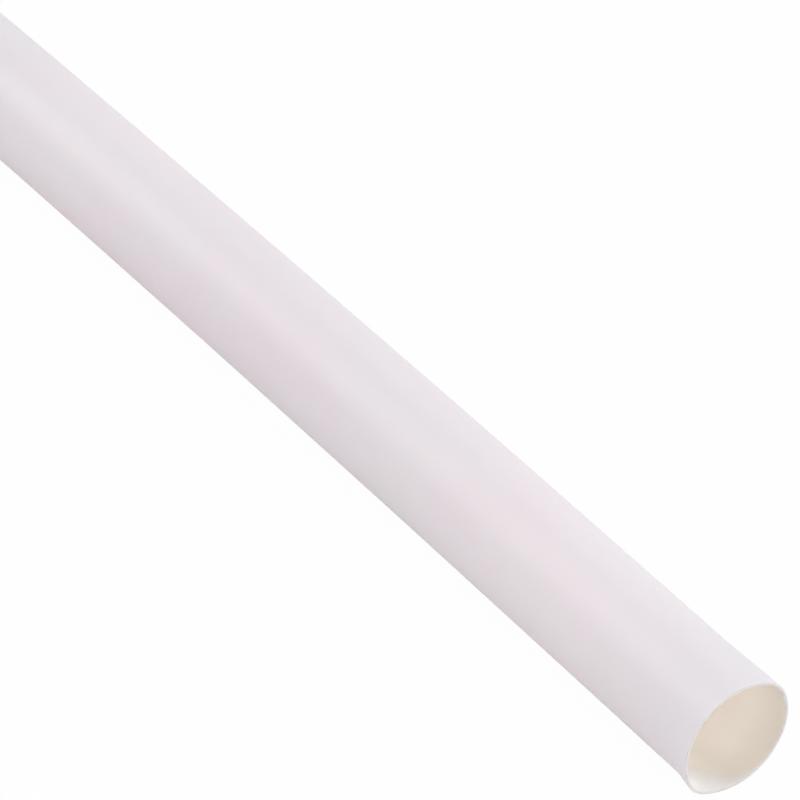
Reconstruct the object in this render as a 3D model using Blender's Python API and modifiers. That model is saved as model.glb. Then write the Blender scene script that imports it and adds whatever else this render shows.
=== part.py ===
"""A cut length of thin-walled heat shrink tube, lying on its side.

The tube runs along X with one open mouth at each end. The origin is on the floor under its middle.
"""

import math

import bpy
from mathutils import Matrix, Vector

# Driving dimensions, in metres
TUBE_LENGTH = 0.1524
OUTER_DIAMETER = 0.0133
WALL = 0.0003
LIP_ROUNDING = 0.00006
BOW = 0.00044

# How finely the round shape is drawn
TURN_STEPS = 96
LENGTH_STEPS = 8

# Finish of the plastic
PLASTIC_COLOUR = (0.83, 0.80, 0.81, 1.0)
PLASTIC_ROUGHNESS = 0.42

OUTER_RADIUS = OUTER_DIAMETER / 2
BORE_RADIUS = OUTER_RADIUS - WALL
HALF_STEP = math.pi / TURN_STEPS


def clear_scene():
    for obj in list(bpy.data.objects):
        bpy.data.objects.remove(obj, do_unlink=True)


def make_collection(name):
    collection = bpy.data.collections.new(name)
    bpy.context.scene.collection.children.link(collection)
    return collection


def plastic_material():
    material = bpy.data.materials.new("white_polyolefin")
    material.use_nodes = True
    shader = material.node_tree.nodes["Principled BSDF"]
    shader.inputs["Base Color"].default_value = PLASTIC_COLOUR
    shader.inputs["Roughness"].default_value = PLASTIC_ROUGHNESS
    shader.inputs["Metallic"].default_value = 0.0
    material.diffuse_color = PLASTIC_COLOUR
    return material


def length_stations():
    """Heights along the standing tube from its top to its foot, inside the two lips."""
    top = TUBE_LENGTH / 2 - LIP_ROUNDING
    return [top - 2 * top * step / LENGTH_STEPS for step in range(LENGTH_STEPS + 1)]


def wall_section():
    """The wall's outline in the XZ plane: down its outer side, then up its bore."""
    outer = [Vector((OUTER_RADIUS, 0, z)) for z in length_stations()]
    bore = [Vector((BORE_RADIUS, 0, z)) for z in reversed(length_stations())]
    foot = [
        Vector((OUTER_RADIUS - LIP_ROUNDING, 0, -TUBE_LENGTH / 2)),
        Vector((BORE_RADIUS + LIP_ROUNDING, 0, -TUBE_LENGTH / 2)),
    ]
    head = [
        Vector((BORE_RADIUS + LIP_ROUNDING, 0, TUBE_LENGTH / 2)),
        Vector((OUTER_RADIUS - LIP_ROUNDING, 0, TUBE_LENGTH / 2)),
    ]
    return outer + foot + bore + head


def section_mesh(name, points):
    mesh = bpy.data.meshes.new(name)
    edges = [(i, (i + 1) % len(points)) for i in range(len(points))]
    mesh.from_pydata(points, edges, [])
    return mesh


def turn(obj):
    """Turns the section about Z into a closed tube."""
    screw = obj.modifiers.new("turned wall", "SCREW")
    screw.axis = "Z"
    screw.angle = math.tau
    screw.steps = TURN_STEPS
    screw.render_steps = TURN_STEPS
    screw.use_merge_vertices = True
    screw.merge_threshold = 0.00001
    screw.use_smooth_shade = True


def lay_down(obj):
    """Makes the turned wall a mesh, along X, resting on the flat between two turning steps."""
    depsgraph = bpy.context.evaluated_depsgraph_get()
    mesh = bpy.data.meshes.new_from_object(obj.evaluated_get(depsgraph))
    mesh.name = obj.name
    mesh.transform(Matrix.Rotation(HALF_STEP, 4, "Z"))
    mesh.transform(Matrix.Rotation(math.pi / 2, 4, "Y"))
    mesh.transform(Matrix.Translation((0, 0, OUTER_RADIUS * math.cos(HALF_STEP))))
    obj.modifiers.clear()
    obj.data = mesh


def bow_sideways(mesh):
    """Bends the middle towards +Y and the ends towards -Y, half of the bow each. The ends stay square."""
    for vertex in mesh.vertices:
        share = 2 * vertex.co.x / TUBE_LENGTH
        vertex.co.y += BOW * (0.5 - share * share)


def build_tube(collection):
    mesh = section_mesh("wall_section", wall_section())
    tube = bpy.data.objects.new("heat_shrink_tube", mesh)
    collection.objects.link(tube)
    turn(tube)
    lay_down(tube)
    bow_sideways(tube.data)
    tube.data.materials.append(plastic_material())
    tube.data.set_sharp_from_angle(angle=math.radians(30))
    return tube


clear_scene()
build_tube(make_collection("heat_shrink_tube"))
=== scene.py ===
"""The looks of a cut length of white heat shrink tube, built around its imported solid.

The tube lies along X. Its mouth at +X is the one that the camera looks into.
"""

import math

import bmesh
import bpy
from bpy.props import FloatProperty, FloatVectorProperty, IntProperty, PointerProperty
from bpy.types import Operator, Panel, PropertyGroup
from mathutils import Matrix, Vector


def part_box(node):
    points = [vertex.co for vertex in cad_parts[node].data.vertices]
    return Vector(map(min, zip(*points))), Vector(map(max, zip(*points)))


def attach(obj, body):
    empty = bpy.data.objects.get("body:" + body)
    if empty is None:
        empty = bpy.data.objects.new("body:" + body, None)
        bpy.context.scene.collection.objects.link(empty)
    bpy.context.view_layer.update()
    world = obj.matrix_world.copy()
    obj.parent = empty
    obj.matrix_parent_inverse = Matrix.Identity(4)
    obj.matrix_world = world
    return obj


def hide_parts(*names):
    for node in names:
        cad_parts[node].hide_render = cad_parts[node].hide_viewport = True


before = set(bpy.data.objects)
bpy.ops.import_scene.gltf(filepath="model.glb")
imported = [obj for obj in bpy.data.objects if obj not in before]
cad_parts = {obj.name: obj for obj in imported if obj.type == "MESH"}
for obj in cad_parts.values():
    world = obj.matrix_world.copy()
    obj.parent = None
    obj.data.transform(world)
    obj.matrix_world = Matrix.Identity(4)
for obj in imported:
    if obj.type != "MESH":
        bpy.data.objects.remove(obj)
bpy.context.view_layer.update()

bl_info = {
    "name": "Heat Shrink Tube",
    "version": (1, 0, 0),
    "blender": (4, 5, 0),
    "location": "3D View > Sidebar > Heat Shrink",
    "description": "Builds a cut length of white heat shrink tube and the studio that shows it",
    "category": "Object",
}

NODE = "heat_shrink_tube"
BODY = "root"

# The tube as its imported solid gives it, in metres
BOX_LOW, BOX_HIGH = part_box(NODE)
LENGTH = BOX_HIGH.x - BOX_LOW.x
OUTER_RADIUS = (BOX_HIGH.z - BOX_LOW.z) / 2
BOW = (BOX_HIGH.y - BOX_LOW.y) - 2 * OUTER_RADIUS

# Rings added before each cut, as gaps to the end of the tube in metres
RINGS_NEAR_CUT = (0.00012, 0.0003, 0.0006, 0.001, 0.0021, 0.0026)

# Closer than this, two points of the mesh are one
WELD_DISTANCE = 1e-7

# The share of the lip's rounding that shows the knife's cut
CUT_SHARE_OF_LIP = 0.95

# Places in the tube's material list
SKIN_INDEX = 0
BORE_INDEX = 1
CUT_INDEX = 2

# How the outer face wanders: the twist of its oval over the length in radians, the pitch of its slow
# pulse in metres, and the oval's share of the two
OVAL_TWIST = 9
PULSE_PITCH = 0.037
OVAL_SHARE = 0.6

# How the cuts wander: the side of each that leans back most, seen from the axis in degrees, the waves of
# the quick error and the ripple in one turn, the shares of the lean and of these two, and how far along
# the tube the error fades in metres
FAR_SIDE_OF_MOUTH = -53
FAR_SIDE_OF_FAR_CUT = 100
QUICK_WAVES = 5
RIPPLE_WAVES = 13
CUT_ERROR_SHARES = (0.88, 0.08, 0.04)
CUT_ERROR_REACH = 0.004

# Where light falls into the mouth onto the lower lip, seen from its axis: there the bore's painted highlight
# reaches deepest
LIT_LIP_DIRECTION = (0.0, -0.80, -0.60)
LIT_LIP_SHARPNESS = 3.0

# Where the knife spread a mouth, as it presses the round wall flatter. Each lobe has its direction seen
# from the axis in degrees, its share of the spread, and how far it reaches along the tube.
SPREAD_LOBES = ((38, 0.7, 0.010), (220, 1.15, 0.0026))
LOBE_SHARPNESS = 12
DRAWN_IN_SHARE = 0.15

# Keeps the mesh from passing the floor by a rounding error
FLOOR_CLEARANCE = 0.000001

# How often light may pass between the inner faces of the pale tube, and how often more in all
WALL_BOUNCES = 16
OTHER_BOUNCES = 8

# Sizes of the soft clouds, as scales of their noise
SKIN_PATCH_SCALE = 90.0
BORE_PATCH_SCALE = 130.0
CUT_PATCH_SCALE = 600.0

# How far the clouds differ: the skin's share in the bore's, the shade of the cut's, the lift of the paper's
BORE_CLOUD_SKIN_SHARE = 0.2
CUT_CLOUD_SHADE = 0.94
PAPER_CLOUD_LIFT = 1.02

# Where shade is painted on a face near each mouth, as the depth at which it starts and at which it is full,
# in metres
SKIN_MOUTH_SHADE_REACH = (0.035, 0.001)
BORE_LIP_SHADE_REACH = (0.007, 0.0005)

# Whitening of the outer face beside the cut
SKIN_WHITENING_REACH = 0.0005
SKIN_WHITENING_SHARE = 0.15

# Finish of the plastic, the cuts and the paper
PLASTIC_IOR = 1.5
SKIN_ROUGHNESS_RANGE = (-0.05, 0.07)
BORE_ROUGHNESS_RANGE = (-0.06, 0.06)
CUT_ROUGHNESS = (0.6, 0.8)
CUT_SPECULAR = 0.2
PAPER_ROUGHNESS = 0.9

# Each bump's strength, and its height in metres
SKIN_LINE_BUMP = (0.15, 0.00002)
SKIN_GRAIN_BUMP = (0.25, 0.000008)
BORE_LINE_BUMP = (0.2, 0.00002)
BORE_GRAIN_BUMP = (0.3, 0.00001)
CUT_STROKE_BUMP = (0.5, 0.00002)
CUT_GRAIN_BUMP = (0.3, 0.00001)
PAPER_GRAIN_BUMP = (0.1, 0.00001)

# Where each soft lamp stands: azimuth and elevation in degrees, distance and side in metres
KEY_PLACE = (157, 22, 1.6, 1.0)
MOUTH_LAMP_PLACE = (90, 16, 1.6, 1.4)
SHEEN_LAMP_PLACE = (297, 42, 1.6, 1.1)
WHITE = (1.0, 1.0, 1.0)

# The floor reaches this far to each side, in metres
FLOOR_REACH = 4.0

# Sockets of the Mix node that carry colours
MIX_FIRST = 6
MIX_SECOND = 7
MIX_RESULT = 2

# The picture that the camera is matched to
PICTURE_SIDE = 800
SENSOR_WIDTH_MM = 36.0


class TubeShape(PropertyGroup):
    """The wall, its cuts and the small errors of a soft extrusion."""

    wall: FloatProperty(
        name="Wall",
        description="Thickness of the wall before the tube is shrunk",
        default=0.0003,
        min=0.0001,
        unit="LENGTH",
        precision=5,
    )
    lip_radius: FloatProperty(
        name="Lip radius",
        description="Rounding of the wall's two edges at each cut",
        default=0.00005,
        min=0.00001,
        unit="LENGTH",
        precision=5,
    )
    bow: FloatProperty(
        name="Bow",
        description="How far the middle stands to the side of the two ends",
        default=BOW,
        unit="LENGTH",
        precision=5,
    )
    out_of_round: FloatProperty(
        name="Out of round",
        description="How far the outer face wanders inwards from a true cylinder",
        default=0.00003,
        min=0.0,
        unit="LENGTH",
        precision=5,
    )
    cut_error: FloatProperty(
        name="Cut error",
        description="How far the knife wandered from a square cut",
        default=0.0003,
        min=0.0,
        unit="LENGTH",
        precision=5,
    )
    mouth_spread: FloatProperty(
        name="Mouth spread",
        description="How far the knife has spread the lip where it spreads it most",
        default=0.00038,
        min=0.0,
        unit="LENGTH",
        precision=5,
    )
    turn_steps: IntProperty(
        name="Turn steps",
        description="Steps round the tube",
        default=240,
        min=24,
        max=512,
    )
    length_steps: IntProperty(
        name="Length steps",
        description="Steps along the tube",
        default=96,
        min=4,
        max=256,
    )


class TubeFinish(PropertyGroup):
    """Colours and surface of the plastic."""

    skin_colour: FloatVectorProperty(
        name="Skin",
        description="Main colour of the outer face",
        subtype="COLOR",
        size=3,
        min=0.0,
        max=1.0,
        default=(1.0, 0.87, 0.935),
    )
    skin_cool_colour: FloatVectorProperty(
        name="Skin, cool",
        description="Colour of the outer face's greyer patches",
        subtype="COLOR",
        size=3,
        min=0.0,
        max=1.0,
        default=(0.965, 0.905, 0.95),
    )
    # Painted shade: the outer face near each mouth is painted in this greyer, darker colour
    skin_mouth_colour: FloatVectorProperty(
        name="Skin, mouth",
        description="Colour of the outer face near a mouth, where handling has greyed it",
        subtype="COLOR",
        size=3,
        min=0.0,
        max=1.0,
        default=(0.865, 0.83, 0.87),
    )
    # Painted light: the inner face is painted a warmer cream than the skin, for the warm light that bounces
    # inside the tube and passes through its wall
    bore_colour: FloatVectorProperty(
        name="Bore",
        description="Colour of the inner face, deep inside",
        subtype="COLOR",
        size=3,
        min=0.0,
        max=1.0,
        default=(1.0, 0.975, 0.905),
    )
    # Painted shade: the inner face near each mouth is painted in this darker colour
    bore_lip_colour: FloatVectorProperty(
        name="Bore, lip",
        description="Colour of the inner face near a mouth, where handling has dulled it",
        subtype="COLOR",
        size=3,
        min=0.0,
        max=1.0,
        default=(0.86, 0.815, 0.75),
    )
    # Painted shade: the cut face is painted this dark grey in place of the shade on it
    cut_colour: FloatVectorProperty(
        name="Cut",
        description="Colour of the wall's cut face, where the knife has torn it",
        subtype="COLOR",
        size=3,
        min=0.0,
        max=1.0,
        default=(0.60, 0.585, 0.575),
    )
    # Painted highlight: this whiter colour is also painted deep on the bore's lower lip, where light falls
    # into the mouth; near each cut it is knife whitening
    knife_colour: FloatVectorProperty(
        name="Whitening",
        description="Colour of the plastic that the knife has whitened beside the cut",
        subtype="COLOR",
        size=3,
        min=0.0,
        max=1.0,
        default=(0.84, 0.845, 0.865),
    )
    skin_roughness: FloatProperty(
        name="Skin roughness",
        description="Roughness of the outer face",
        subtype="FACTOR",
        default=0.38,
        min=0.0,
        max=1.0,
    )
    bore_roughness: FloatProperty(
        name="Bore roughness",
        description="Roughness of the inner face",
        subtype="FACTOR",
        default=0.6,
        min=0.0,
        max=1.0,
    )
    milkiness: FloatProperty(
        name="Milkiness",
        description="Share of the light that scatters inside the wall",
        subtype="FACTOR",
        default=0.5,
        min=0.0,
        max=1.0,
    )
    scatter_depth: FloatProperty(
        name="Scatter depth",
        description="How far light travels inside the plastic",
        default=0.0006,
        min=0.0,
        unit="LENGTH",
        precision=5,
    )
    scatter_tint: FloatVectorProperty(
        name="Scatter tint",
        description="How far red, green and blue light travel, as shares of the scatter depth",
        size=3,
        min=0.0,
        max=1.0,
        default=(1.0, 0.96, 0.94),
    )


class StudioLook(PropertyGroup):
    """The pale floor, the soft lamps and the camera."""

    paper_colour: FloatVectorProperty(
        name="Paper",
        description="Colour of the floor as the tube sees it",
        subtype="COLOR",
        size=3,
        min=0.0,
        max=1.0,
        default=(0.85, 0.835, 0.835),
    )
    backdrop_colour: FloatVectorProperty(
        name="Backdrop",
        description="Brightness of the bare floor and surround in the picture",
        subtype="COLOR",
        size=3,
        min=0.0,
        max=1.0,
        default=(1.0, 1.0, 1.0),
    )
    backdrop_share: FloatProperty(
        name="Backdrop share",
        description="How much of the floor's shading is lit from behind in the picture",
        subtype="FACTOR",
        default=0.97,
        min=0.0,
        max=1.0,
    )
    surround: FloatProperty(
        name="Surround",
        description="Brightness of the white room",
        default=0.485,
        min=0.0,
    )
    warm_tint: FloatVectorProperty(
        name="Room tint",
        description="Colour of the light of the room and of the sheen lamp",
        subtype="COLOR",
        size=3,
        min=0.0,
        max=1.0,
        default=(1.0, 0.985, 0.995),
    )
    cool_tint: FloatVectorProperty(
        name="Key tint",
        description="Colour of the key's light",
        subtype="COLOR",
        size=3,
        min=0.0,
        max=1.0,
        default=(0.90, 0.975, 1.0),
    )
    key_power: FloatProperty(
        name="Key",
        description="Radiance of the cool lamp that stands low behind the tube",
        default=2.6,
        min=0.0,
    )
    mouth_power: FloatProperty(
        name="Mouth lamp",
        description="Radiance of the low lamp that shines into the mouth",
        default=2.85,
        min=0.0,
    )
    sheen_power: FloatProperty(
        name="Sheen",
        description="Radiance of the high lamp whose soft highlight runs along the tube",
        default=1.95,
        min=0.0,
    )
    azimuth: FloatProperty(
        name="Azimuth",
        description="Turn of the camera round the tube, 0 looks along +Y",
        subtype="ANGLE",
        default=math.radians(55.048),
    )
    elevation: FloatProperty(
        name="Elevation",
        description="Height of the camera above the floor, as an angle",
        subtype="ANGLE",
        default=math.radians(37.749),
    )
    distance: FloatProperty(
        name="Distance",
        description="From the camera to the mouth, along the view",
        unit="LENGTH",
        default=0.52785,
    )
    lens: FloatProperty(
        name="Lens",
        description="Focal length in millimetres",
        default=235.314,
        min=1.0,
    )
    mouth_pixel: FloatVectorProperty(
        name="Mouth in picture",
        description="Where the middle of the mouth shows, in pixels from the upper left",
        size=2,
        default=(738.22, 739.08),
    )


def smooth_step(low, high, value):
    t = min(1.0, max(0.0, (value - low) / (high - low)))
    return t * t * (3 - 2 * t)


# The tube's mesh


def length_stations(steps):
    """Places of the rings along X: even along the tube, and closer together near the two cuts."""
    even = [LENGTH * (i / steps - 0.5) for i in range(1, steps)]
    ends = [LENGTH / 2 - gap for gap in RINGS_NEAR_CUT]
    return even + ends + [-x for x in ends]


def wall_outline(shape):
    """The wall's section as a ring of edges in the XY plane, with its four corners rounded."""
    bm = bmesh.new()
    bmesh.ops.create_grid(bm, x_segments=1, y_segments=1, size=0.5)
    bmesh.ops.scale(bm, vec=(LENGTH, shape.wall, 1), verts=bm.verts)
    bmesh.ops.translate(bm, vec=(0, OUTER_RADIUS - shape.wall / 2, 0), verts=bm.verts)
    bmesh.ops.bevel(
        bm,
        geom=bm.verts[:],
        offset=shape.lip_radius,
        offset_type="OFFSET",
        segments=5,
        profile=0.5,
        affect="VERTICES",
        material=-1,
    )
    bmesh.ops.delete(bm, geom=bm.faces[:], context="FACES_ONLY")
    for x in length_stations(shape.length_steps):
        bmesh.ops.bisect_plane(
            bm,
            geom=bm.verts[:] + bm.edges[:],
            dist=WELD_DISTANCE,
            plane_co=(x, 0, 0),
            plane_no=(1, 0, 0),
        )
    return bm


def settle_order(bm):
    """Lists the edges and faces by their points, because the weld lists them in another order each run."""
    bm.verts.index_update()
    count = len(bm.verts)

    def place(element):
        indices = [vert.index for vert in element.verts]
        return min(indices) * count + max(indices)

    bm.edges.sort(key=place)
    bm.faces.sort(key=place)


def spin_wall(bm, shape):
    """Turns the section once round the X axis into a closed tube."""
    bmesh.ops.spin(
        bm,
        geom=bm.verts[:] + bm.edges[:],
        cent=(0, 0, 0),
        axis=(1, 0, 0),
        dvec=(0, 0, 0),
        angle=math.tau,
        steps=shape.turn_steps,
        use_merge=True,
        use_duplicate=False,
    )
    bmesh.ops.remove_doubles(bm, verts=bm.verts, dist=WELD_DISTANCE)
    bmesh.ops.recalc_face_normals(bm, faces=bm.faces)
    settle_order(bm)


def sort_faces(bm, shape):
    """Gives the skin, the bore and the cuts their places in the material list."""
    middle_of_wall = OUTER_RADIUS - shape.wall / 2
    start_of_cut = LENGTH / 2 - CUT_SHARE_OF_LIP * shape.lip_radius
    for face in bm.faces:
        face.smooth = True
        centre = face.calc_center_median()
        if abs(centre.x) > start_of_cut:
            face.material_index = CUT_INDEX
        elif math.hypot(centre.y, centre.z) < middle_of_wall:
            face.material_index = BORE_INDEX
        else:
            face.material_index = SKIN_INDEX


def wander_of_skin(x, angle):
    """0 to 1: how far the soft extrusion has drawn in at this place, from a slow twist and a slow pulse."""
    oval = 0.5 + 0.5 * math.cos(2 * angle + OVAL_TWIST * x / LENGTH)
    pulse = 0.5 + 0.5 * math.sin(math.tau * x / PULSE_PITCH + angle)
    return OVAL_SHARE * oval + (1 - OVAL_SHARE) * pulse


def spread_of_mouth(x, angle):
    """How far the mouth stands out here, as a share of the spread. Between its lobes it is drawn in."""
    turned = angle if x > 0 else -angle
    spread = 0.0
    for towards, share, reach in SPREAD_LOBES:
        near = smooth_step(LENGTH / 2 - reach, LENGTH / 2, abs(x))
        lobe = max(0.0, math.cos(turned - math.radians(towards))) ** LOBE_SHARPNESS
        spread += near * (share * lobe - DRAWN_IN_SHARE / len(SPREAD_LOBES))
    return spread


def wander_of_cut(angle, far_side):
    """0 to 1: how far the cut has drawn back at this angle. It leans back most at its far side."""
    lean = 0.5 + 0.5 * math.cos(angle - far_side)
    quick = 0.5 + 0.5 * math.sin(QUICK_WAVES * angle + 2 * far_side)
    ripple = 0.5 + 0.5 * math.sin(RIPPLE_WAVES * angle + 3 * far_side)
    lean_share, quick_share, ripple_share = CUT_ERROR_SHARES
    return lean_share * lean + quick_share * quick + ripple_share * ripple


def soften(bm, shape):
    """Moves the true tube's points by the small errors of a real one. All stay inside the solid's box."""
    for vert in bm.verts:
        x = vert.co.x
        angle = math.atan2(vert.co.z, vert.co.y)
        radius = math.hypot(vert.co.y, vert.co.z)
        radius -= shape.out_of_round * wander_of_skin(x, angle)
        radius += shape.mouth_spread * spread_of_mouth(x, angle)
        near = smooth_step(LENGTH / 2 - CUT_ERROR_REACH, LENGTH / 2, abs(x))
        far_side = math.radians(FAR_SIDE_OF_MOUTH if x > 0 else FAR_SIDE_OF_FAR_CUT)
        back = shape.cut_error * wander_of_cut(angle, far_side) * near
        vert.co.x = x - math.copysign(back, x)
        vert.co.y = radius * math.cos(angle)
        vert.co.z = radius * math.sin(angle)


def bow_and_lay(bm, shape):
    """Bends the tube in the floor's plane and lifts it onto the floor."""
    for vert in bm.verts:
        share = 2 * vert.co.x / LENGTH
        vert.co.y += shape.bow * (0.5 - share * share)
    bmesh.ops.translate(bm, vec=(0, 0, OUTER_RADIUS + FLOOR_CLEARANCE), verts=bm.verts)


def tube_mesh(shape):
    bm = wall_outline(shape)
    spin_wall(bm, shape)
    sort_faces(bm, shape)
    soften(bm, shape)
    bow_and_lay(bm, shape)
    mesh = bpy.data.meshes.new("tube")
    bm.to_mesh(mesh)
    bm.free()
    return mesh


# Shader tools


def add_node(tree, kind, **settings):
    """Adds a node and sets its properties."""
    node = tree.nodes.new(kind)
    for name, value in settings.items():
        setattr(node, name, value)
    return node


def put(node, name, value):
    node.inputs[name].default_value = value


def join(tree, output, target):
    tree.links.new(output, target)


def new_group(name, inputs, outputs):
    """An empty shader group. inputs give each socket's name, kind and default, outputs its name and kind."""
    tree = bpy.data.node_groups.new(name, "ShaderNodeTree")
    for socket, kind, default in inputs:
        made = tree.interface.new_socket(socket, in_out="INPUT", socket_type=kind)
        if default is not None:
            made.default_value = default
    for socket, kind in outputs:
        tree.interface.new_socket(socket, in_out="OUTPUT", socket_type=kind)
    entry = tree.nodes.new("NodeGroupInput")
    exit_node = tree.nodes.new("NodeGroupOutput")
    return tree, entry, exit_node


def effect(tree, build, coordinate, output, **values):
    """Places the group that a function builds, with its own values, and gives back one of its outputs."""
    node = tree.nodes.new("ShaderNodeGroup")
    node.node_tree = bpy.data.node_groups.get(build.__name__) or build()
    join(tree, coordinate, node.inputs["Coordinate"])
    for name, value in values.items():
        put(node, name.replace("_", " "), value)
    return node.outputs[output]


def stretch(tree, coordinate, scale):
    mapping = add_node(tree, "ShaderNodeMapping", vector_type="POINT")
    put(mapping, "Scale", scale)
    join(tree, coordinate, mapping.inputs["Vector"])
    return mapping.outputs["Vector"]


def noise(tree, coordinate, scale, detail, roughness):
    node = add_node(tree, "ShaderNodeTexNoise", noise_dimensions="3D")
    put(node, "Scale", scale)
    put(node, "Detail", detail)
    put(node, "Roughness", roughness)
    join(tree, coordinate, node.inputs["Vector"])
    return node.outputs["Fac"]


def remap(tree, value, low, high, to_low, to_high):
    node = add_node(tree, "ShaderNodeMapRange", interpolation_type="SMOOTHSTEP", clamp=True)
    put(node, "From Min", low)
    put(node, "From Max", high)
    put(node, "To Min", to_low)
    put(node, "To Max", to_high)
    join(tree, value, node.inputs["Value"])
    return node.outputs["Result"]


def calculate(tree, operation, first, second):
    """A Math node. first and second are sockets or numbers."""
    node = add_node(tree, "ShaderNodeMath", operation=operation)
    for value, socket in ((first, node.inputs[0]), (second, node.inputs[1])):
        if isinstance(value, (int, float)):
            socket.default_value = value
        else:
            join(tree, value, socket)
    return node.outputs["Value"]


def blend_colours(tree, share, first, second):
    """A colour mix. first and second are sockets or colours."""
    node = add_node(tree, "ShaderNodeMix", data_type="RGBA", blend_type="MIX", clamp_factor=True)
    join(tree, share, node.inputs["Factor"])
    for value, socket in ((first, node.inputs[MIX_FIRST]), (second, node.inputs[MIX_SECOND])):
        if isinstance(value, bpy.types.NodeSocket):
            join(tree, value, socket)
        else:
            socket.default_value = (*value, 1.0)
    return node.outputs[MIX_RESULT]


# Effects that the tube's materials share


def milky_patches():
    """Soft clouds in the plastic, drawn out along the tube."""
    tree, entry, exit_node = new_group(
        "milky_patches",
        [("Coordinate", "NodeSocketVector", None), ("Patch Scale", "NodeSocketFloat", 90.0)],
        [("Mask", "NodeSocketFloat")],
    )
    drawn_out = stretch(tree, entry.outputs["Coordinate"], (0.4, 1.0, 1.0))
    node = add_node(tree, "ShaderNodeTexNoise", noise_dimensions="3D")
    put(node, "Detail", 3.0)
    put(node, "Roughness", 0.55)
    join(tree, drawn_out, node.inputs["Vector"])
    join(tree, entry.outputs["Patch Scale"], node.inputs["Scale"])
    mask = remap(tree, node.outputs["Fac"], low=0.32, high=0.68, to_low=0.0, to_high=1.0)
    join(tree, mask, exit_node.inputs["Mask"])
    return tree


def die_lines():
    """Fine lines that the die draws along the tube."""
    tree, entry, exit_node = new_group(
        "die_lines",
        [("Coordinate", "NodeSocketVector", None)],
        [("Height", "NodeSocketFloat")],
    )
    drawn_out = stretch(tree, entry.outputs["Coordinate"], (0.012, 1.0, 1.0))
    wide = noise(tree, drawn_out, scale=700.0, detail=2.0, roughness=0.5)
    narrow = noise(tree, drawn_out, scale=2600.0, detail=2.0, roughness=0.6)
    narrow_share = 0.35
    height = calculate(tree, "MULTIPLY_ADD", narrow, narrow_share)
    join(tree, wide, height.node.inputs[2])
    join(tree, height, exit_node.inputs["Height"])
    return tree


def satin_grain():
    """The fine even grain of a matt extrusion."""
    tree, entry, exit_node = new_group(
        "satin_grain",
        [("Coordinate", "NodeSocketVector", None)],
        [("Height", "NodeSocketFloat")],
    )
    grain = noise(tree, entry.outputs["Coordinate"], scale=5200.0, detail=3.0, roughness=0.55)
    join(tree, grain, exit_node.inputs["Height"])
    return tree


def whitening_and_lit_lip():
    """Knife whitening close to the two cuts, and in the bore a painted highlight of the light that falls onto
    the lower lip.
    """
    tree, entry, exit_node = new_group(
        "whitening_and_lit_lip",
        [("Coordinate", "NodeSocketVector", None), ("Reach", "NodeSocketFloat", 0.0006)],
        [("Mask", "NodeSocketFloat")],
    )
    parts = add_node(tree, "ShaderNodeSeparateXYZ")
    join(tree, entry.outputs["Coordinate"], parts.inputs["Vector"])
    along = calculate(tree, "ABSOLUTE", parts.outputs["X"], 0.0)
    ragged = noise(tree, entry.outputs["Coordinate"], scale=900.0, detail=3.0, roughness=0.6)
    shift = calculate(tree, "MULTIPLY", calculate(tree, "SUBTRACT", ragged, 0.5), entry.outputs["Reach"])
    start = calculate(tree, "SUBTRACT", LENGTH / 2, entry.outputs["Reach"])
    past = calculate(tree, "SUBTRACT", calculate(tree, "ADD", along, shift), start)
    share = calculate(tree, "DIVIDE", past, entry.outputs["Reach"])
    mask = remap(tree, share, low=0.0, high=1.0, to_low=0.0, to_high=1.0)
    join(tree, mask, exit_node.inputs["Mask"])
    return tree


def lit_lip_reach():
    """How far the bore's whitening reaches into the tube: farthest on the lower lip, where it is a painted
    highlight of the light that falls into the mouth.
    """
    tree, entry, exit_node = new_group(
        "lit_lip_reach",
        [
            ("Coordinate", "NodeSocketVector", None),
            ("Least", "NodeSocketFloat", 0.0004),
            ("Most", "NodeSocketFloat", 0.011),
        ],
        [("Reach", "NodeSocketFloat")],
    )
    from_axis = add_node(tree, "ShaderNodeVectorMath", operation="SUBTRACT")
    join(tree, entry.outputs["Coordinate"], from_axis.inputs[0])
    from_axis.inputs[1].default_value = (0.0, -BOW / 2, OUTER_RADIUS)
    across = add_node(tree, "ShaderNodeVectorMath", operation="MULTIPLY")
    join(tree, from_axis.outputs["Vector"], across.inputs[0])
    across.inputs[1].default_value = (0.0, 1.0, 1.0)
    outward = add_node(tree, "ShaderNodeVectorMath", operation="NORMALIZE")
    join(tree, across.outputs["Vector"], outward.inputs[0])
    towards = add_node(tree, "ShaderNodeVectorMath", operation="DOT_PRODUCT")
    join(tree, outward.outputs["Vector"], towards.inputs[0])
    towards.inputs[1].default_value = LIT_LIP_DIRECTION
    facing = calculate(tree, "MAXIMUM", towards.outputs["Value"], 0.0)
    near = calculate(tree, "POWER", facing, LIT_LIP_SHARPNESS)
    extra = calculate(tree, "MULTIPLY", near, entry.outputs["Most"])
    join(tree, calculate(tree, "ADD", extra, entry.outputs["Least"]), exit_node.inputs["Reach"])
    return tree


def mouth_reach():
    """0 deep inside the tube to 1 at its two mouths."""
    tree, entry, exit_node = new_group(
        "mouth_reach",
        [
            ("Coordinate", "NodeSocketVector", None),
            ("Start", "NodeSocketFloat", 0.008),
            ("Full", "NodeSocketFloat", 0.001),
        ],
        [("Mask", "NodeSocketFloat")],
    )
    parts = add_node(tree, "ShaderNodeSeparateXYZ")
    join(tree, entry.outputs["Coordinate"], parts.inputs["Vector"])
    along = calculate(tree, "ABSOLUTE", parts.outputs["X"], 0.0)
    depth = calculate(tree, "SUBTRACT", LENGTH / 2, along)
    ramp = add_node(tree, "ShaderNodeMapRange", interpolation_type="SMOOTHSTEP", clamp=True)
    join(tree, depth, ramp.inputs["Value"])
    join(tree, entry.outputs["Start"], ramp.inputs["From Min"])
    join(tree, entry.outputs["Full"], ramp.inputs["From Max"])
    join(tree, ramp.outputs["Result"], exit_node.inputs["Mask"])
    return tree


# Materials


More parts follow.
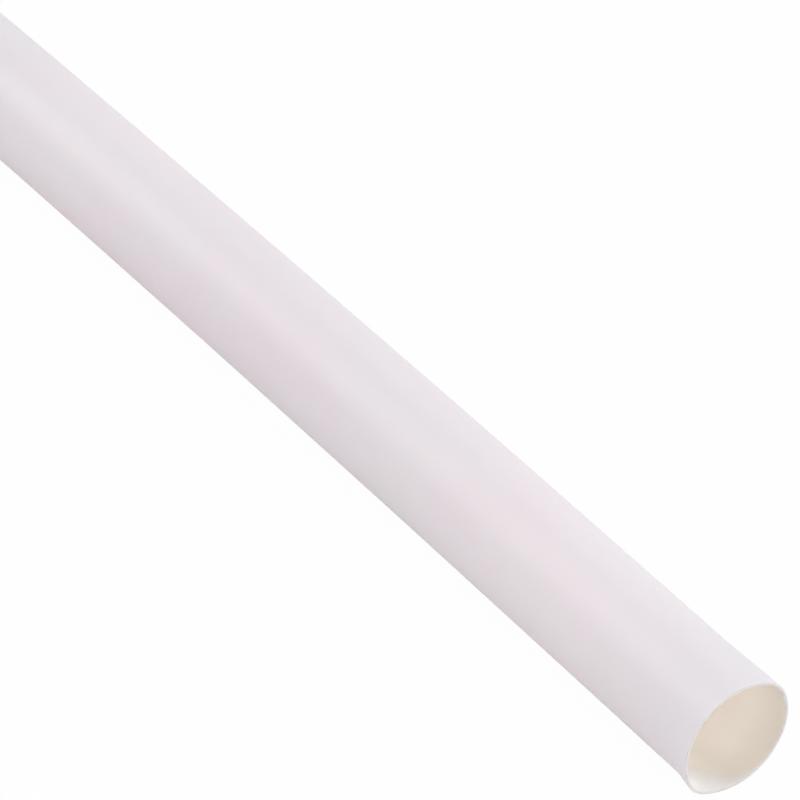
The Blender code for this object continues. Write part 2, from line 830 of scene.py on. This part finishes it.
def start_material(name):
    material = bpy.data.materials.new(name)
    material.use_nodes = True
    tree = material.node_tree
    shader = tree.nodes["Principled BSDF"]
    place = add_node(tree, "ShaderNodeTexCoord").outputs["Object"]
    return material, tree, shader, place


def make_milky(shader, finish):
    """Lets light through the thin white wall."""
    put(shader, "Subsurface Weight", finish.milkiness)
    put(shader, "Subsurface Radius", finish.scatter_tint)
    put(shader, "Subsurface Scale", finish.scatter_depth)
    put(shader, "IOR", PLASTIC_IOR)


def raise_bumps(tree, shader, layers):
    """Chains bumps. Each layer is a height with its strength and distance."""
    last = None
    for height, (strength, distance) in layers:
        bump = add_node(tree, "ShaderNodeBump")
        put(bump, "Strength", strength)
        put(bump, "Distance", distance)
        join(tree, height, bump.inputs["Height"])
        if last is not None:
            join(tree, last, bump.inputs["Normal"])
        last = bump.outputs["Normal"]
    join(tree, last, shader.inputs["Normal"])


def skin_material(finish):
    """The outer face: satin white with a faint pink cast, greyer clouds and painted shade near each mouth."""
    material, tree, shader, place = start_material("tube_skin")
    make_milky(shader, finish)
    clouds = effect(tree, milky_patches, place, "Mask", Patch_Scale=SKIN_PATCH_SCALE)
    lines = effect(tree, die_lines, place, "Height")
    grain = effect(tree, satin_grain, place, "Height")
    whitened_and_lit = effect(tree, whitening_and_lit_lip, place, "Mask", Reach=SKIN_WHITENING_REACH)
    clouded = blend_colours(tree, clouds, finish.skin_colour, finish.skin_cool_colour)
    # Painted shade: the skin's colour turns to the darker mouth colour towards each mouth
    start, full = SKIN_MOUTH_SHADE_REACH
    mouth_shade = effect(tree, mouth_reach, place, "Mask", Start=start, Full=full)
    body = blend_colours(tree, mouth_shade, clouded, finish.skin_mouth_colour)
    faint = calculate(tree, "MULTIPLY", whitened_and_lit, SKIN_WHITENING_SHARE)
    colour = blend_colours(tree, faint, body, finish.knife_colour)
    join(tree, colour, shader.inputs["Base Color"])
    smoothest, roughest = (finish.skin_roughness + change for change in SKIN_ROUGHNESS_RANGE)
    roughness = remap(tree, lines, low=0.3, high=1.0, to_low=smoothest, to_high=roughest)
    join(tree, roughness, shader.inputs["Roughness"])
    raise_bumps(tree, shader, [(lines, SKIN_LINE_BUMP), (grain, SKIN_GRAIN_BUMP)])
    return material


def bore_material(finish):
    """The inner face: the same plastic, rougher, painted a warmer cream for the light inside the tube, with
    painted shade near each mouth, knife whitening at the cut and a painted highlight on the lower lip.
    """
    material, tree, shader, place = start_material("tube_bore")
    make_milky(shader, finish)
    clouds = effect(tree, milky_patches, place, "Mask", Patch_Scale=BORE_PATCH_SCALE)
    lines = effect(tree, die_lines, place, "Height")
    grain = effect(tree, satin_grain, place, "Height")
    # Knife whitening near each cut, and a painted highlight that reaches deep on the lower lip
    whitened_and_lit = effect(tree, whitening_and_lit_lip, place, "Mask")
    join(tree, effect(tree, lit_lip_reach, place, "Reach"), whitened_and_lit.node.inputs["Reach"])
    # Painted shade: the bore's colour turns to the darker lip colour towards each mouth
    start, full = BORE_LIP_SHADE_REACH
    lip = effect(tree, mouth_reach, place, "Mask", Start=start, Full=full)
    share = BORE_CLOUD_SKIN_SHARE
    pairs = zip(finish.bore_colour, finish.skin_colour)
    paler = [(1 - share) * bore + share * skin for bore, skin in pairs]
    clouded = blend_colours(tree, clouds, finish.bore_colour, paler)
    lip_shaded = blend_colours(tree, lip, clouded, finish.bore_lip_colour)
    colour = blend_colours(tree, whitened_and_lit, lip_shaded, finish.knife_colour)
    join(tree, colour, shader.inputs["Base Color"])
    smoothest, roughest = (finish.bore_roughness + change for change in BORE_ROUGHNESS_RANGE)
    roughness = remap(tree, clouds, low=0.0, high=1.0, to_low=smoothest, to_high=roughest)
    join(tree, roughness, shader.inputs["Roughness"])
    raise_bumps(tree, shader, [(lines, BORE_LINE_BUMP), (grain, BORE_GRAIN_BUMP)])
    return material


def cut_material(finish):
    """The cut ends of the wall: bare plastic, drawn and torn by the knife, painted dark grey as shade."""
    material, tree, shader, place = start_material("tube_cut")
    make_milky(shader, finish)
    put(shader, "Specular IOR Level", CUT_SPECULAR)
    clouds = effect(tree, milky_patches, place, "Mask", Patch_Scale=CUT_PATCH_SCALE)
    grain = effect(tree, satin_grain, place, "Height")
    across = stretch(tree, place, (1.0, 0.15, 1.0))
    strokes = noise(tree, across, scale=3000.0, detail=3.0, roughness=0.6)
    # Painted shade: the cut's dark colour, with random cloudy tone
    dull = [CUT_CLOUD_SHADE * part for part in finish.cut_colour]
    colour = blend_colours(tree, clouds, finish.cut_colour, dull)
    join(tree, colour, shader.inputs["Base Color"])
    smoothest, roughest = CUT_ROUGHNESS
    roughness = remap(tree, strokes, low=0.3, high=0.7, to_low=smoothest, to_high=roughest)
    join(tree, roughness, shader.inputs["Roughness"])
    raise_bumps(tree, shader, [(strokes, CUT_STROKE_BUMP), (grain, CUT_GRAIN_BUMP)])
    return material


def build_tube(shape, finish):
    tube = bpy.data.objects.new("tube", tube_mesh(shape))
    bpy.context.scene.collection.objects.link(tube)
    for make in (skin_material, bore_material, cut_material):
        tube.data.materials.append(make(finish))
    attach(tube, BODY)
    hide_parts(NODE)
    return tube


# The studio


def paper_material(look):
    """White paper. In the picture it is nearly as bright as the surround, with a trace of its own shading."""
    material, tree, shader, place = start_material("studio_paper")
    grain = effect(tree, satin_grain, place, "Height")
    fibre = noise(tree, place, scale=60.0, detail=4.0, roughness=0.6)
    paler = [min(1.0, PAPER_CLOUD_LIFT * part) for part in look.paper_colour]
    join(tree, blend_colours(tree, fibre, look.paper_colour, paler), shader.inputs["Base Color"])
    put(shader, "Roughness", PAPER_ROUGHNESS)
    put(shader, "Specular IOR Level", 0.0)
    raise_bumps(tree, shader, [(grain, PAPER_GRAIN_BUMP)])
    glow = add_node(tree, "ShaderNodeEmission")
    put(glow, "Color", (*look.backdrop_colour, 1.0))
    seen = add_node(tree, "ShaderNodeLightPath").outputs["Is Camera Ray"]
    mix = add_node(tree, "ShaderNodeMixShader")
    join(tree, calculate(tree, "MULTIPLY", seen, look.backdrop_share), mix.inputs["Fac"])
    join(tree, shader.outputs["BSDF"], mix.inputs[1])
    join(tree, glow.outputs["Emission"], mix.inputs[2])
    join(tree, mix.outputs["Shader"], tree.nodes["Material Output"].inputs["Surface"])
    return material


def build_floor(look):
    bm = bmesh.new()
    bmesh.ops.create_grid(bm, x_segments=1, y_segments=1, size=FLOOR_REACH)
    mesh = bpy.data.meshes.new("floor")
    bm.to_mesh(mesh)
    bm.free()
    floor = bpy.data.objects.new("floor", mesh)
    bpy.context.scene.collection.objects.link(floor)
    mesh.materials.append(paper_material(look))


def build_surround(look):
    """The white room: one even brightness, which the camera sees as the backdrop."""
    world = bpy.data.worlds.new("white_room")
    bpy.context.scene.world = world
    world.use_nodes = True
    tree = world.node_tree
    room = tree.nodes["Background"]
    put(room, "Color", (*look.warm_tint, 1.0))
    put(room, "Strength", look.surround)
    backdrop = add_node(tree, "ShaderNodeBackground")
    put(backdrop, "Color", (*look.backdrop_colour, 1.0))
    mix = add_node(tree, "ShaderNodeMixShader")
    join(tree, add_node(tree, "ShaderNodeLightPath").outputs["Is Camera Ray"], mix.inputs["Fac"])
    join(tree, room.outputs["Background"], mix.inputs[1])
    join(tree, backdrop.outputs["Background"], mix.inputs[2])
    join(tree, mix.outputs["Shader"], tree.nodes["World Output"].inputs["Surface"])


def direction(azimuth, elevation):
    """From the object towards a camera or lamp. Azimuth 0 stands on the -Y side and 90 on the +X side."""
    flat = math.cos(elevation)
    return Vector((math.sin(azimuth) * flat, -math.cos(azimuth) * flat, math.sin(elevation)))


def add_softbox(name, place, radiance, colour):
    """A square lamp that faces the tube. Its power follows from its size and the radiance of its face."""
    azimuth, elevation, distance, side = place
    lamp = bpy.data.lights.new(name, "AREA")
    lamp.shape = "SQUARE"
    lamp.size = side
    lamp.energy = radiance * math.pi * side * side
    lamp.color = colour
    softbox = bpy.data.objects.new(name, lamp)
    bpy.context.scene.collection.objects.link(softbox)
    towards = direction(math.radians(azimuth), math.radians(elevation))
    softbox.location = Vector((0, 0, OUTER_RADIUS)) + towards * distance
    softbox.rotation_mode = "QUATERNION"
    softbox.rotation_quaternion = (-towards).to_track_quat("-Z", "Y")
    softbox.visible_camera = False


def build_camera(look):
    """Puts the mouth where the picture shows it, seen from the picture's side and height."""
    back = direction(look.azimuth, look.elevation)
    right = Vector((math.cos(look.azimuth), math.sin(look.azimuth), 0))
    up = back.cross(right)
    focal_pixels = look.lens / SENSOR_WIDTH_MM * PICTURE_SIDE
    across = (look.mouth_pixel[0] - PICTURE_SIDE / 2) / focal_pixels * look.distance
    above = (PICTURE_SIDE / 2 - look.mouth_pixel[1]) / focal_pixels * look.distance
    mouth = Vector((LENGTH / 2, -BOW / 2, OUTER_RADIUS))
    lens = bpy.data.cameras.new("camera")
    lens.lens = look.lens
    lens.sensor_width = SENSOR_WIDTH_MM
    lens.clip_start = 0.01
    lens.clip_end = 20.0
    camera = bpy.data.objects.new("camera", lens)
    bpy.context.scene.collection.objects.link(camera)
    camera.location = mouth + back * look.distance - right * across - up * above
    camera.rotation_euler = (math.pi / 2 - look.elevation, 0, look.azimuth)
    bpy.context.scene.camera = camera


def build_studio(look):
    build_camera(look)
    build_floor(look)
    build_surround(look)
    add_softbox("key", KEY_PLACE, look.key_power, look.cool_tint)
    add_softbox("mouth_lamp", MOUTH_LAMP_PLACE, look.mouth_power, WHITE)
    add_softbox("sheen_lamp", SHEEN_LAMP_PLACE, look.sheen_power, look.warm_tint)
    bpy.context.scene.cycles.diffuse_bounces = WALL_BOUNCES
    bpy.context.scene.cycles.max_bounces = WALL_BOUNCES + OTHER_BOUNCES
    bpy.context.scene.view_settings.view_transform = "Standard"


# The add-on


class HEAT_SHRINK_OT_build_tube(Operator):
    """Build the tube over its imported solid"""

    bl_idname = "heat_shrink.build_tube"
    bl_label = "Build Tube"

    def execute(self, context):
        build_tube(context.scene.tube_shape, context.scene.tube_finish)
        return {"FINISHED"}


class HEAT_SHRINK_OT_build_studio(Operator):
    """Build the floor, the white room, the lamps and the camera"""

    bl_idname = "heat_shrink.build_studio"
    bl_label = "Build Studio"

    def execute(self, context):
        build_studio(context.scene.studio_look)
        return {"FINISHED"}


class HEAT_SHRINK_PT_panel(Panel):
    """Sizes, finishes and build steps of the tube"""

    bl_label = "Heat Shrink Tube"
    bl_space_type = "VIEW_3D"
    bl_region_type = "UI"
    bl_category = "Heat Shrink"

    def draw(self, context):
        scene = context.scene
        for title, group in (
            ("Shape", scene.tube_shape),
            ("Finish", scene.tube_finish),
            ("Studio", scene.studio_look),
        ):
            box = self.layout.box()
            box.label(text=title)
            for name in group.bl_rna.properties.keys():
                if name not in ("rna_type", "name"):
                    box.prop(group, name)
        self.layout.operator(HEAT_SHRINK_OT_build_tube.bl_idname)
        self.layout.operator(HEAT_SHRINK_OT_build_studio.bl_idname)


CLASSES = (
    TubeShape,
    TubeFinish,
    StudioLook,
    HEAT_SHRINK_OT_build_tube,
    HEAT_SHRINK_OT_build_studio,
    HEAT_SHRINK_PT_panel,
)


def register():
    for cls in CLASSES:
        bpy.utils.register_class(cls)
    bpy.types.Scene.tube_shape = PointerProperty(type=TubeShape)
    bpy.types.Scene.tube_finish = PointerProperty(type=TubeFinish)
    bpy.types.Scene.studio_look = PointerProperty(type=StudioLook)


def unregister():
    del bpy.types.Scene.studio_look
    del bpy.types.Scene.tube_finish
    del bpy.types.Scene.tube_shape
    for cls in reversed(CLASSES):
        bpy.utils.unregister_class(cls)


def main():
    register()
    bpy.ops.heat_shrink.build_tube()
    bpy.ops.heat_shrink.build_studio()


if __name__ == "__main__":
    main()
